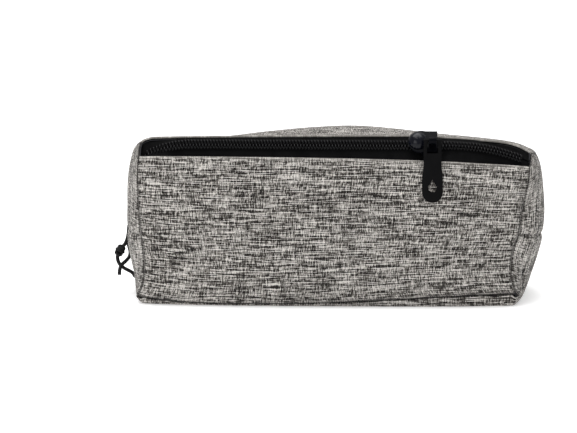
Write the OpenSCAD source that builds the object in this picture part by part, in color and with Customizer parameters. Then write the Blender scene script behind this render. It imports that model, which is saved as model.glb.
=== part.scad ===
// Soft zip pencil case with boxed ends, a coil zip along its upper front edge,
// a slider with a hanging puller, and a doubled hang cord in the left end seam.
// X runs along the case, -Y is the front, Z = 0 is the surface it stands on.

/* [Body] */
// Length over the swollen ends
body_l = 200; // [170:1:240]
// Depth, front to back
body_d = 60; // [50:1:72]
// Height of the zip's front edge above the surface
front_h = 70.5; // [60:0.5:84]
// Thickness of the outer fabric
fabric_t = 1.0; // [0.7:0.1:1.4]
// Thickness of the lining
lining_t = 0.5; // [0.3:0.1:0.7]
// How far the front swells beyond its straight line
front_swell = 3; // [1:0.5:5]
// How much further out the ends are at mid height than at the surface
end_swell = 6; // [3:0.5:9]
// Height of the seam across each end
end_seam_h = 33; // [26:1:42]

/* [Zip] */
// Slope of the zip's face
zip_slope = 43; // [38:1:47]
// Width of the zip between the two fabric edges
zip_w = 14.2; // [14:0.1:16]
// Width of the two coil rows together
chain_w = 6.2; // [5.6:0.1:6.6]
// Gap between the coil rows, which the slider's post runs in
row_gap = 1.2; // [1:0.1:1.4]
// Height of the coil above the tape
coil_h = 2.2; // [1.8:0.1:2.4]
// Thickness of the tape
tape_t = 0.7; // [0.5:0.1:0.8]

/* [Slider] */
// Length of the slider's body
slider_l = 14; // [12:0.5:16]
// Where the middle of the slider stands along the case
slider_x = 41.2; // [36:0.2:46]
// Width of the slider's body
slider_w = 12.6; // [10.6:0.1:12.8]
// Thickness of the slider's two plates
plate_t = 1.0; // [0.8:0.1:1.1]
// Clearance between the slider and the zip
slider_gap = 0.3; // [0.2:0.05:0.35]

/* [Puller] */
// Length of the puller below its pin
puller_l = 29.4; // [22:0.1:34]
// Width of the puller's round end
puller_w = 9.8; // [9:0.1:11]
// Width of the puller at its frame
frame_w = 8.5; // [8.2:0.1:9]
// Thickness of the puller
puller_t = 1.8; // [1.4:0.1:2]
// Radius of the bar that the puller turns on
pin_r = 0.8; // [0.7:0.05:0.9]
// Clearance between that bar and the crown's eye
pin_gap = 0.08; // [0.03:0.01:0.1]
// How far the hanging puller leans out over the front
puller_lean = 12.5; // [12:0.5:20]

/* [Mouth] */
// From the left end to the part of the mouth that opens
mouth_margin = 20; // [16:1:40]
// From the part of the mouth that opens to the slider
mouth_short = 8.2; // [7:0.2:20]
// Gap between what opens and what stays
mouth_gap = 0.4; // [0.3:0.1:0.8]

/* [Hang cord] */
// Thickness of the cord
cord_d = 1.8; // [1.2:0.1:2]
// Radius of its knot
knot_r = 2.3; // [1.8:0.1:2.6]

/* [Hidden] */
$fn = 48;
big = 400;
fabric = "#a9a59f";
lining_grey = "#4a4a4c";
black = "#1c1c1e";

// The section across the case: points in Y and Z, from the zip's front edge down,
// under the case, up the back and over the top to the zip's rear edge.
edge_in = 5.5;
edge_y = -body_d / 2 + edge_in;
zip_front = [edge_y, front_h];
along_zip = [cos(zip_slope), sin(zip_slope)];
off_zip = [-sin(zip_slope), cos(zip_slope)];
function on_zip(s, n) = zip_front + s * along_zip + n * off_zip;
zip_rear = on_zip(zip_w, 0);
corner_r = 3;
foot_in = 0.5;
back_r = 9;
back_in = 2;
back_drop = 3;
back_swell = 1.7;
top_swell = 1.2;
back_turn = 80;
back_top = zip_rear[1] - back_drop;
function bowed(p, q, swell, n) =
    let (d = q - p, out = [d[1], -d[0]] / norm(d))
    [for (i = [0 : n]) let (t = i / n) p + t * d + 4 * t * (1 - t) * swell * out];
function arc(c, r, a, b, n) = [for (i = [0 : n]) let (w = a + (b - a) * i / n) c + r * [cos(w), sin(w)]];
function without_last(list) = [for (i = [0 : len(list) - 2]) list[i]];
front_low = [-body_d / 2 + foot_in, corner_r];
rear_low = [body_d / 2 - foot_in, corner_r];
back_centre = [body_d / 2 - back_in - back_r, back_top - back_r];
front_line = without_last(bowed(zip_front, front_low, front_swell, 12));
front_corner = arc(front_low + [corner_r, 0], corner_r, 180, 270, 4);
rear_corner = without_last(arc(rear_low - [corner_r, 0], corner_r, -90, 0, 4));
rear_line = without_last(bowed(rear_low, back_centre + [back_r, 0], back_swell, 8));
top_corner = arc(back_centre, back_r, 0, back_turn, 5);
top_line = bowed(top_corner[5], zip_rear, top_swell, 6);
section = concat(front_line, front_corner, rear_corner, rear_line, without_last(top_corner), top_line);
front_end = len(front_line) + len(front_corner) - 1;
bottom_end = front_end + 1;
back_end = bottom_end + len(rear_corner) + len(rear_line);
last = len(section) - 1;

// The point i of an outline, moved inward by d along its normal.
function inset(path, i, d) =
    let (
        a = path[max(i - 1, 0)],
        b = path[i],
        c = path[min(i + 1, len(path) - 1)],
        u = i == 0 ? c - b : b - a,
        v = i == len(path) - 1 ? b - a : c - b,
        nu = [-u[1], u[0]] / norm(u),
        nv = [-v[1], v[0]] / norm(v),
        m = (nu + nv) / norm(nu + nv)
    )
    b + m * d / (m * nu);
function moved_in(path, i0, i1, d) = [for (i = [i0 : i1]) inset(path, i, d)];
function reversed(list) = [for (i = [len(list) - 1 : -1 : 0]) list[i]];

// The outline of the ends in X and Z: the right end from below the surface to above the top.
end_foot = body_l / 2 - end_swell;
end_head = body_l / 2 - end_swell / 2;
end_over = 12;
end_under = 6;
end_bow = 0.78;
end_line = bowed([end_foot, -end_under], [end_head, zip_rear[1] + end_over], end_swell * end_bow, 14);
function end_x(line, z) = lookup(z, [for (p = line) [p[1], p[0]]]);

// Where the lips turn: low on the front, and where the top meets the back.
hinge_front_z = 7;
hinge_rear_y = back_centre[0] - 1;
top_lip_depth = 6;
front_lip_depth = 8;

// The slider stands on the chain, whose middle is nearer the zip's rear edge.
chain_in = 5.6;
chain_s = zip_w - chain_in;
slider_x0 = slider_x - slider_l / 2;
slider_x1 = slider_x + slider_l / 2;
mouth_x0 = -body_l / 2 + mouth_margin;
mouth_x1 = slider_x0 - mouth_short;
mouth_l = mouth_x1 - mouth_x0;
row_w = (chain_w - row_gap) / 2;
plate_low = coil_h + slider_gap;
plate_top = plate_low + plate_t;
under_top = -tape_t - slider_gap;
eye_r = pin_r + pin_gap;
eye_wall = 0.8;
eye_w = 3.6;
eye_x = slider_x1 - eye_w / 2 - 0.5;
neck_l = 3.4;
neck_h = 3.8;
pin_forward = 2.3;
pin_at = [chain_s - pin_forward, plate_top + neck_h];
dome_back = 2.2;
dome_x = slider_x - dome_back;

// Lays a drawing in Y and Z down from x0 to x1.
module along_x(x0, x1) {
    translate([x0, 0, 0]) rotate([90, 0, 90]) linear_extrude(x1 - x0) children();
}
// Lays a drawing in X and Z down from y0 to y1.
module along_y(y0, y1) {
    translate([0, y1, 0]) rotate([90, 0, 0]) linear_extrude(y1 - y0) children();
}
// Puts what is drawn in zip coordinates on the zip: X along it, Y across it, Z off its face.
module on_zip_face() {
    translate([0, zip_front[0], zip_front[1]]) rotate([zip_slope, 0, 0]) children();
}
// Nothing of the lining or the ends stands nearer to the zip's face than this.
zip_room = 1.3;
module wall(i0, i1, d0, d1) {
    polygon(concat(moved_in(section, i0, i1, d0), reversed(moved_in(section, i0, i1, d1))));
}
module inside_section(d) {
    difference() {
        polygon(moved_in(section, 0, last, d));
        polygon([on_zip(-big, -zip_room), on_zip(big, -zip_room), on_zip(big, big), on_zip(-big, big)]);
    }
}
module inside_ends(d) {
    right = moved_in(end_line, 0, len(end_line) - 1, d);
    polygon(concat(right, [for (p = reversed(right)) [-p[0], p[1]]]));
}
module panel(i0, i1) {
    intersection() {
        along_x(-big / 2, big / 2) wall(i0, i1, 0, fabric_t);
        along_y(-big / 2, big / 2) inside_ends(0);
    }
}
module front_mouth(gap, rise) {
    translate([mouth_x0 - gap, -big / 2, hinge_front_z + rise])
        cube([mouth_l + 2 * gap, big / 2 - front_lip_depth, big]);
}
module top_mouth(gap, inset_y) {
    translate([mouth_x0 - gap, -big + hinge_rear_y - inset_y, back_top - top_lip_depth])
        cube([mouth_l + 2 * gap, big, big]);
}

module front_panel() {
    color(fabric) difference() {
        panel(0, front_end);
        front_mouth(mouth_gap, 0);
    }
}
module front_panel_lip() {
    color(fabric) intersection() {
        panel(0, front_end);
        front_mouth(0, 2 * mouth_gap);
    }
}
module bottom_panel() {
    color(fabric) panel(front_end, bottom_end);
}
module back_panel() {
    color(fabric) panel(bottom_end, back_end);
}
module top_panel() {
    color(fabric) difference() {
        panel(back_end, last);
        top_mouth(mouth_gap, 0);
    }
}
module top_panel_lip() {
    color(fabric) intersection() {
        panel(back_end, last);
        top_mouth(0, 2 * mouth_gap);
    }
}

// One end, between two heights, inside the panels.
module end_piece(z0, z1) {
    color(fabric) intersection() {
        along_x(0, big) inside_section(fabric_t);
        along_y(-big / 2, big / 2) difference() {
            inside_ends(0);
            inside_ends(fabric_t);
        }
        translate([0, -big / 2, z0]) cube([big, big, z1 - z0]);
    }
}
module right_end_upper() {
    end_piece(end_seam_h, big);
}
module right_end_lower() {
    end_piece(0, end_seam_h);
}
module left_end_upper() {
    mirror([1, 0, 0]) end_piece(end_seam_h, big);
}
module left_end_lower() {
    mirror([1, 0, 0]) end_piece(0, end_seam_h);
}

module lining_space(d) {
    intersection() {
        along_x(-big / 2, big / 2) inside_section(d);
        along_y(-big / 2, big / 2) inside_ends(d);
    }
}
// The lining's bag, open along the zip.
lining_low = 4.5;
lining_back = 1.5;
lining_ends = 2;
slot_x = body_l / 2 - end_swell - lining_ends;
slot_s = zip_w + lining_back;
module lining_bag() {
    difference() {
        lining_space(fabric_t);
        lining_space(fabric_t + lining_t);
        along_x(-slot_x, slot_x) polygon([
            on_zip(0, -lining_low), on_zip(slot_s, -lining_low), on_zip(slot_s, big), on_zip(0, big)
        ]);
    }
}
module lining() {
    color(lining_grey) difference() {
        lining_bag();
        front_mouth(mouth_gap, 0);
        top_mouth(mouth_gap, 0);
    }
}
front_lining_y = edge_y + 4;
top_lining_y = edge_y + 9;
module front_lip_lining() {
    color(lining_grey) intersection() {
        lining_bag();
        front_mouth(0, 2 * mouth_gap);
        along_x(-big / 2, big / 2)
            polygon([[-big, 0], [front_lining_y, 0], [front_lining_y, big], [-big, big]]);
    }
}
module top_lip_lining() {
    color(lining_grey) intersection() {
        lining_bag();
        top_mouth(0, 2 * mouth_gap);
        along_x(-big / 2, big / 2) polygon([[top_lining_y, 0], [big, 0], [big, big], [top_lining_y, big]]);
    }
}

// The bound seam allowance that stands in from the middle of each end.
binding_w = 6;
binding_t = 1.6;
binding_in = 5;
binding_gap = 0.2;
lining_line = moved_in(end_line, 0, len(end_line) - 1, fabric_t + lining_t);
module seam_binding() {
    seam_x = end_x(lining_line, end_seam_h) - binding_gap;
    color(black) translate([seam_x - binding_w, -body_d / 2 + binding_in, end_seam_h - binding_t / 2])
        cube([binding_w, body_d - 2 * binding_in, binding_t]);
}
module right_seam_binding() {
    seam_binding();
}
module left_seam_binding() {
    mirror([1, 0, 0]) seam_binding();
}

// One strip of the zip, from s0 to s1 across its face and n0 to n1 off it.
zip_end = body_l / 2 - end_swell / 2 - 1.5;
module zip_strip(s0, s1, n0, n1, x0, x1) {
    on_zip_face() translate([x0, s0, n0]) cube([x1 - x0, s1 - s0, n1 - n0]);
}
module fixed_and_mouth(in_mouth) {
    if (in_mouth) {
        intersection() {
            children();
            translate([mouth_x0, -big / 2, 0]) cube([mouth_l, big, big]);
        }
    } else {
        difference() {
            children();
            translate([mouth_x0 - mouth_gap, -big / 2, 0]) cube([mouth_l + 2 * mouth_gap, big, big]);
        }
    }
}
tape_edge = 0.95;
tape_middle = row_gap / 2;
module tape_front(in_mouth) {
    color(black) fixed_and_mouth(in_mouth)
        zip_strip(tape_edge, chain_s - tape_middle, -tape_t, 0, -zip_end, zip_end);
}
module tape_rear(in_mouth) {
    color(black) fixed_and_mouth(in_mouth)
        zip_strip(chain_s + tape_middle, zip_w - tape_edge, -tape_t, 0, -zip_end, zip_end);
}
module coil_row(side, in_mouth) {
    s0 = chain_s + (side > 0 ? row_gap / 2 : -chain_w / 2);
    color(black) fixed_and_mouth(in_mouth)
        zip_strip(s0, s0 + row_w, 0, coil_h, -zip_end + 1, zip_end - 1);
}
module zip_tape_front() { tape_front(false); }
module zip_tape_front_lip() { tape_front(true); }
module zip_tape_rear() { tape_rear(false); }
module zip_tape_rear_lip() { tape_rear(true); }
module coil_front() { coil_row(-1, false); }
module coil_front_lip() { coil_row(-1, true); }
module coil_rear() { coil_row(1, false); }
module coil_rear_lip() { coil_row(1, true); }

// The slider's plates, seen from above: a round nose and a straight, narrower tail.
nose_x = slider_x0 + slider_w / 2;
tail_narrow = 0.6;
tail_w = slider_w - tail_narrow;
tail_l = slider_x1 - nose_x;
module plate_outline(d) {
    translate([nose_x, chain_s]) circle(slider_w / 2 - d);
    translate([nose_x, chain_s - tail_w / 2 + d]) square([tail_l, tail_w - 2 * d]);
}
// The lower plate is narrower, because it runs between the panels' edges.
lower_in = 1.6;
flange_in = chain_w / 2 + 2 * slider_gap;
hole_r = 0.9;
lock_forward = 1.8;
hole_x = dome_x + lock_forward;
post_l = 2.6;
neck_over = 0.2;
module slider_body() {
    color(black) on_zip_face() difference() {
        union() {
            translate([0, 0, plate_low]) linear_extrude(plate_t) plate_outline(0);
            translate([0, 0, under_top - plate_t]) linear_extrude(plate_t) plate_outline(lower_in);
            translate([0, 0, slider_gap]) linear_extrude(plate_low - slider_gap) difference() {
                translate([nose_x, chain_s - tail_w / 2]) square([tail_l, tail_w]);
                translate([nose_x - 1, chain_s - flange_in]) square([slider_l, 2 * flange_in]);
            }
            // The post that parts the rows at the nose.
            translate([nose_x - post_l, chain_s - row_gap / 4, under_top])
                cube([post_l, row_gap / 2, plate_low - under_top]);
            // The neck that carries the crown's eye.
            translate([eye_x - eye_w / 2, pin_at[0] - neck_over, plate_top]) cube([eye_w, neck_l, neck_h]);
            translate([eye_x - eye_w / 2, pin_at[0], pin_at[1]])
                rotate([0, 90, 0]) cylinder(h = eye_w, r = eye_r + eye_wall);
        }
        translate([eye_x - eye_w / 2 - 1, pin_at[0], pin_at[1]])
            rotate([0, 90, 0]) cylinder(h = eye_w + 2, r = eye_r);
        // The lock pin's hole.
        translate([hole_x, chain_s, plate_low - 1]) cylinder(h = plate_t + 2, r = hole_r);
    }
}
// The hollow dome over the lock spring.
dome_r = 4.6;
dome_h = 3.8;
dome_wall = 0.6;
module dome_shape(r, h) {
    rotate_extrude() polygon(concat([[0, 0]], [for (w = [0 : 15 : 90]) [r * cos(w), h * sin(w)]]));
}
module slider_crown() {
    color(black) on_zip_face() translate([dome_x, chain_s, plate_top]) difference() {
        dome_shape(dome_r, dome_h);
        translate([0, 0, -0.01]) dome_shape(dome_r - dome_wall, dome_h - dome_wall);
    }
}
// The leaf spring under the dome, with the pin that drops between the rows.
spring_l = 4.6;
spring_w = 1.6;
spring_t = 0.3;
spring_rise = 0.4;
spring_foot = 0.5;
lock_r = 0.4;
lock_down = 1;
module slider_spring() {
    color("silver") on_zip_face() {
        translate([dome_x - spring_l / 2, chain_s - spring_w / 2, plate_top]) {
            translate([0, 0, spring_rise]) cube([spring_l, spring_w, spring_t]);
            cube([spring_foot, spring_w, spring_rise + spring_t]);
        }
        translate([hole_x, chain_s, plate_low - lock_down])
            cylinder(h = plate_t + lock_down + spring_rise + spring_t / 2, r = lock_r);
    }
}

// The puller hangs from its round bar, leans out over the front and has a drop-shaped hole.
pin_world = on_zip(pin_at[0], pin_at[1]);
window_w = 5.2;
window_l = 5.4;
drop_w = 4;
drop_top = 18.4;
drop_low = 24.4;
frame_l = 12;
flare_at = 18;
module puller_outline() {
    difference() {
        union() {
            translate([-frame_w / 2, -frame_l]) square([frame_w, frame_l]);
            polygon([[-frame_w / 2, -frame_l], [frame_w / 2, -frame_l],
                [puller_w / 2, -flare_at], [puller_w / 2, -puller_l + puller_w / 2],
                [-puller_w / 2, -puller_l + puller_w / 2], [-puller_w / 2, -flare_at]]);
            translate([0, -puller_l + puller_w / 2]) circle(puller_w / 2);
        }
        translate([-window_w / 2, -pin_r - window_l + 0.1]) square([window_w, window_l + 5]);
        translate([0, -drop_low + drop_w / 2]) circle(drop_w / 2);
        polygon([[0, -drop_top], [drop_w * 0.46, -drop_low + drop_w * 0.7],
            [-drop_w * 0.46, -drop_low + drop_w * 0.7]]);
    }
}
module puller() {
    color(black) translate([eye_x, pin_world[0], pin_world[1]]) rotate([-puller_lean, 0, 0]) {
        rotate([90, 0, 0]) translate([0, 0, -puller_t / 2]) linear_extrude(puller_t) puller_outline();
        rotate([0, 90, 0]) cylinder(h = frame_w, r = pin_r, center = true);
    }
}

// The hang cord is one cord folded in the left end seam: two strands, a knot round one of them.
seam_at = -body_l / 2 - 1.6;
tail_route = [
    [1, 0, 33], [0.8, -0.6, 30], [0.3, -1, 27], [-0.8, -1.3, 24.3], [-2.5, -1.5, 22.2], [-4, -1.6, 20],
    [-4.6, -1.6, 17.5], [-4.1, -1.5, 15.1], [-2.9, -1.1, 13.2], [-1.3, -0.1, 11.7], [0.3, 1.5, 10.4],
    [1.6, 3.5, 9.1], [2.4, 5.7, 7.6], [2.7, 8, 6]
];
stub_route = [
    [1, 1.9, 33], [0.8, 2.9, 30.3], [0.2, 3.9, 27.4], [-0.1, 4.2, 24.3], [0.6, 4, 21.4], [1.2, 2.8, 19],
    [0.8, 0.7, 17.1], [-0.5, -1.5, 15.8], [-1.7, -3.6, 15], [-2.6, -5.7, 14], [-3.1, -7.4, 12.4],
    [-3.2, -8, 10.2]
];
knot_at = [-3.3, -1.55, 20.9];
sides = 8;
function unit(v) = v / norm(v);
function heading(route, i) = unit(route[min(i + 1, len(route) - 1)] - route[max(i - 1, 0)]);
function ring(route, i, r) =
    let (h = heading(route, i), a = unit(cross(h, [0, 1, 0])), b = cross(h, a))
    [for (k = [0 : sides - 1]) route[i] + r * (a * cos(360 * k / sides) + b * sin(360 * k / sides))];
module tube(route, r) {
    n = len(route);
    rings = [for (i = [0 : n - 1]) each ring(route, i, r)];
    walls = [for (i = [0 : n - 2]) for (k = [0 : sides - 1])
        let (a = i * sides + k, b = i * sides + (k + 1) % sides)
        each [[a, b, b + sides], [a, b + sides, a + sides]]];
    ends = [[for (k = [sides - 1 : -1 : 0]) k], [for (k = [0 : sides - 1]) (n - 1) * sides + k]];
    polyhedron(points = rings, faces = concat(walls, ends));
}
module hang_cord_tail() {
    color(black) translate([seam_at, 0, 0]) tube(tail_route, cord_d / 2);
}
module hang_cord_stub() {
    color(black) translate([seam_at, 0, 0]) tube(stub_route, cord_d / 2);
}
module hang_cord_knot() {
    color(black) translate([seam_at - 1.6, 0, 0] + knot_at) sphere(knot_r);
}

front_panel();
front_panel_lip();
top_panel();
top_panel_lip();
back_panel();
bottom_panel();
left_end_upper();
left_end_lower();
right_end_upper();
right_end_lower();
lining();
front_lip_lining();
top_lip_lining();
left_seam_binding();
right_seam_binding();
zip_tape_front();
zip_tape_front_lip();
zip_tape_rear();
zip_tape_rear_lip();
coil_front();
coil_front_lip();
coil_rear();
coil_rear_lip();
slider_body();
slider_crown();
slider_spring();
puller();
hang_cord_tail();
hang_cord_stub();
hang_cord_knot();
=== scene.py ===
# %% [markdown]
# # A soft pencil case, piece by piece
# The case is a boxed pouch of grey melange cloth with a coil zip along its upper front edge.
# The CAD frame gives the sizes, the bodies and the joints. This script makes the soft and the small
# shapes on that frame: cloth panels, lining, zip, slider, puller and hang cord.

# %% Load the frame
import math

import bpy
import numpy as np
from mathutils import Matrix, Vector, noise


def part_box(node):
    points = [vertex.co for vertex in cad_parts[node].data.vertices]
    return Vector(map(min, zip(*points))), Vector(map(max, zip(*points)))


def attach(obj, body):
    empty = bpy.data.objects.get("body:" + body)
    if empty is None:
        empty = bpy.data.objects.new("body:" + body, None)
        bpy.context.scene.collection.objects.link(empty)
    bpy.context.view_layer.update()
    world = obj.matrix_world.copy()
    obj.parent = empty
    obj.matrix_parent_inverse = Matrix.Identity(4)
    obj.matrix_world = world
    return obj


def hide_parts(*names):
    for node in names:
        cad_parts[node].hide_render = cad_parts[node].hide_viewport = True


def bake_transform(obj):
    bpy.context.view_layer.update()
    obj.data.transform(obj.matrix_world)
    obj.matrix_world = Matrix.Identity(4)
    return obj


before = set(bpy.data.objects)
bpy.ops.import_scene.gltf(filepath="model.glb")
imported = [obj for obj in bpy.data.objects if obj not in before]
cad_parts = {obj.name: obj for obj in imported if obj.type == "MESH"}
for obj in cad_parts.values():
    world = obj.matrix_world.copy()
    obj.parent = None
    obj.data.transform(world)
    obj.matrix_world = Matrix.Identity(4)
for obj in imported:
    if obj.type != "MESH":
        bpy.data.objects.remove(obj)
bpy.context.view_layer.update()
MM = 0.001
PANEL_BULGE = 3.5 * MM
HALF_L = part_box("back_panel")[1].x
HALF_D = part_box("bottom_panel")[1].y + PANEL_BULGE
print("half length:", round(HALF_L, 4), "half depth:", round(HALF_D, 4))

# %% [markdown]
# ## Camera
# A long lens from a little above the table flattens the case, so that its sizes can be judged.
# The camera could be aimed at the middle of the case, but a small shift of the lens keeps its
# axis square to the front while the case stands right of the centre.

# %% Camera
ELEVATION = math.radians(12)
AZIMUTH = math.radians(1.5)
DISTANCE = 1.5
TARGET = Vector((0, -0.4 * HALF_D, 0.0405))
camera_data = bpy.data.cameras.new("camera")
camera = bpy.data.objects.new("camera", camera_data)
bpy.context.scene.collection.objects.link(camera)
direction = Vector((
    math.sin(AZIMUTH) * math.cos(ELEVATION),
    -math.cos(AZIMUTH) * math.cos(ELEVATION),
    math.sin(ELEVATION),
))
camera.location = TARGET + DISTANCE * direction
camera.rotation_euler = (-direction).to_track_quat("-Z", "Y").to_euler()
CASE_SHARE = 0.72617  # of the view's width
VIEW_WIDTH = 2 * HALF_L / CASE_SHARE
SENSOR = 36
SHIFT = -0.0825
camera_data.sensor_width = SENSOR
camera_data.lens = SENSOR * DISTANCE / VIEW_WIDTH
camera_data.shift_x = SHIFT
camera_data.clip_start = 0.05
bpy.context.scene.camera = camera
print("lens:", round(camera_data.lens, 1), "mm, view width:", round(VIEW_WIDTH, 4), "m")

# %% [markdown]
# ## Hang cord
# One black cord is folded in the seam of the left end, so two strands come out of it. A knot sits on
# the strands, and the tails cross under it. A cord could be a row of cylinders, but a smooth curve
# with a round bevel keeps its true length, so each strand is one open spline, made a mesh at the end.

# %% Cord routes
SEAM_X = -101.6 * MM
CORD_D = 1.8 * MM
TAIL_ROUTE = [
    (1, 0, 33), (0.8, -0.6, 30), (0.3, -1, 27), (-0.8, -1.3, 24.3), (-2.5, -1.5, 22.2), (-4, -1.6, 20),
    (-4.6, -1.6, 17.5), (-4.1, -1.5, 15.1), (-2.9, -1.1, 13.2), (-1.3, -0.1, 11.7), (0.3, 1.5, 10.4),
    (1.6, 3.5, 9.1), (2.4, 5.7, 7.6), (2.7, 8, 6),
]
STUB_ROUTE = [
    (1, 1.9, 33), (0.8, 2.9, 30.3), (0.2, 3.9, 27.4), (-0.1, 4.2, 24.3), (0.6, 4, 21.4), (1.2, 2.8, 19),
    (0.8, 0.7, 17.1), (-0.5, -1.5, 15.8), (-1.7, -3.6, 15), (-2.6, -5.7, 14), (-3.1, -7.4, 12.4),
    (-3.2, -8, 10.2),
]


def on_seam(point):
    return Vector((SEAM_X + point[0] * MM, point[1] * MM, point[2] * MM))


def smooth_route(points, steps=4):
    """A curve through all the points, with a few more between each two (Catmull and Rom's way)."""
    ends = [2 * points[0] - points[1], *points, 2 * points[-1] - points[-2]]
    made = []
    for a, b, c, d in zip(ends, ends[1:], ends[2:], ends[3:]):
        for t in (i / steps for i in range(steps)):
            bend = (3 * b - a - 3 * c + d) * t**3 + (2 * a - 5 * b + 4 * c - d) * t**2
            made.append(b + 0.5 * ((c - a) * t + bend))
    return [*made, points[-1]]


def cord_length(points):
    return sum((b - a).length for a, b in zip(points, points[1:]))


def make_cord(name, route):
    points = smooth_route([on_seam(p) for p in route])
    data = bpy.data.curves.new(name, "CURVE")
    data.dimensions = "3D"
    data.bevel_depth = CORD_D / 2
    data.bevel_resolution = 4
    data.use_fill_caps = True
    spline = data.splines.new("POLY")
    spline.points.add(len(points) - 1)
    for place, point in zip(spline.points, points):
        place.co = (*point, 1)
    cord = bpy.data.objects.new(name, data)
    bpy.context.scene.collection.objects.link(cord)
    bpy.ops.object.select_all(action="DESELECT")
    cord.select_set(True)
    bpy.context.view_layer.objects.active = cord
    bpy.ops.object.convert(target="MESH")
    bpy.ops.object.shade_smooth()
    print(name, "length:", round(cord_length(points) * 1000, 1), "mm")
    return bpy.context.object, points


cord_tail, tail_points = make_cord("cord_tail", TAIL_ROUTE)
cord_stub, stub_points = make_cord("cord_stub", STUB_ROUTE)

# %% [markdown]
# ## Finishes
# Every finish is built from nodes, so that it holds at any distance. Cloth is painted yarn by yarn:
# the piece's UV map is in millimetres along its yarns, each yarn gets its own random tone that
# changes slowly along it, and a checker says which yarn lies on top. An image of cloth would be
# quicker, but it would not follow the panels at their true scale.

# %% Node helpers


class Nodes:
    """Builds a material's node tree with one short call for each node."""

    def __init__(self, name):
        self.material = bpy.data.materials.new(name)
        self.material.use_nodes = True
        self.tree = self.material.node_tree
        self.shader = self.tree.nodes["Principled BSDF"]

    def put(self, socket, value):
        if isinstance(value, bpy.types.NodeSocket):
            self.tree.links.new(value, socket)
        elif value is not None:
            socket.default_value = value

    def math(self, operation, a, b=None, clamp=False):
        node = self.tree.nodes.new("ShaderNodeMath")
        node.operation = operation
        node.use_clamp = clamp
        self.put(node.inputs[0], a)
        self.put(node.inputs[1], b)
        return node.outputs[0]

    def combine(self, x, y, z=0.0):
        node = self.tree.nodes.new("ShaderNodeCombineXYZ")
        for socket, value in zip(node.inputs, (x, y, z)):
            self.put(socket, value)
        return node.outputs[0]

    def noise(self, vector, scale, detail=2.0, roughness=0.5):
        node = self.tree.nodes.new("ShaderNodeTexNoise")
        self.put(node.inputs["Vector"], vector)
        self.put(node.inputs["Scale"], scale)
        self.put(node.inputs["Detail"], detail)
        self.put(node.inputs["Roughness"], roughness)
        return node.outputs["Fac"]

    def ramp(self, value, stops):
        node = self.tree.nodes.new("ShaderNodeValToRGB")
        elements = node.color_ramp.elements
        while len(elements) < len(stops):
            elements.new(0.5)
        for element, (place, color) in zip(elements, stops):
            element.position = place
            element.color = (*color, 1)
        self.put(node.inputs["Fac"], value)
        return node.outputs["Color"]

    def mix(self, fac, a, b, blend="MIX"):
        node = self.tree.nodes.new("ShaderNodeMix")
        node.data_type = "RGBA"
        node.blend_type = blend
        self.put(node.inputs["Factor"], fac)
        for socket, value in ((node.inputs[6], a), (node.inputs[7], b)):
            self.put(socket, (*value, 1) if isinstance(value, tuple) and len(value) == 3 else value)
        return node.outputs[2]

    def mix_value(self, fac, a, b):
        node = self.tree.nodes.new("ShaderNodeMix")
        self.put(node.inputs["Factor"], fac)
        self.put(node.inputs[2], a)
        self.put(node.inputs[3], b)
        return node.outputs[0]

    def bump(self, height, strength, distance):
        node = self.tree.nodes.new("ShaderNodeBump")
        self.put(node.inputs["Strength"], strength)
        self.put(node.inputs["Distance"], distance)
        self.put(node.inputs["Height"], height)
        self.tree.links.new(node.outputs[0], self.shader.inputs["Normal"])

    def object_place(self, scale=1.0):
        place = self.tree.nodes.new("ShaderNodeTexCoord")
        mapping = self.tree.nodes.new("ShaderNodeMapping")
        mapping.inputs["Scale"].default_value = (scale, scale, scale)
        self.tree.links.new(place.outputs["Object"], mapping.inputs["Vector"])
        return mapping.outputs[0]

    def uv_parts(self, name):
        uv = self.tree.nodes.new("ShaderNodeUVMap")
        uv.uv_map = name
        parts = self.tree.nodes.new("ShaderNodeSeparateXYZ")
        self.tree.links.new(uv.outputs[0], parts.inputs[0])
        return parts.outputs[0], parts.outputs[1]

    def grey_ramp(self, value, low_place, low, high_place, high):
        return self.ramp(value, [(low_place, (low,) * 3), (high_place, (high,) * 3)])

    def checker(self, row, column):
        return self.math("MODULO", self.math("ABSOLUTE", self.math("ADD", row, column)), 2.0)

    def set(self, **values):
        for name, value in values.items():
            self.put(self.shader.inputs[name.replace("_", " ")], value)
        return self


# %% [markdown]
# The case is sewn from a grey melange, a plain weave whose yarns change from black to white along
# their length. It could be a plain noise, but streaks along both yarn directions are what the eye
# reads as woven cloth. The weft runs along the case and shows a little more than the warp.

# %% Melange cloth
DARK_YARN = (0.012, 0.01, 0.009)
MID_YARN = (0.085, 0.077, 0.069)
PALE_YARN = (0.31, 0.29, 0.265)
WHITE_YARN = (0.72, 0.69, 0.65)
YARN_TONES = [(0.46, DARK_YARN), (0.49, MID_YARN), (0.53, PALE_YARN), (0.562, WHITE_YARN)]
# Painted shade for the seam valleys, and a painted highlight for the folded edges by the zip:
SEAM_SHADE = (0.016, 0.014, 0.013)
PAINTED_HEM_HIGHLIGHT = (0.42, 0.4, 0.37)
WEFT = (0.26, 12.0, 3.1)  # pitch and run in millimetres, and a seed
WARP = (0.27, 2.6, 9.4)
WEFT_SHARE = 0.44
WEFT_CHANGE = 0.26


def yarn(n, along, across, pitch, run, seed):
    """(tone, profile, number) of the yarns that run along one direction of the cloth."""
    place = n.math("DIVIDE", across, pitch)
    number = n.math("FLOOR", place)
    part = n.math("FRACT", place)
    walk = n.math("ADD", n.math("DIVIDE", along, run), n.math("MULTIPLY", number, 17.31))
    tone = n.noise(n.combine(walk, n.math("MULTIPLY", number, 5.77), seed), 1.0, 2.5, 0.62)
    profile = n.math("SINE", n.math("MULTIPLY", part, math.pi))
    return tone, profile, number


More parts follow.
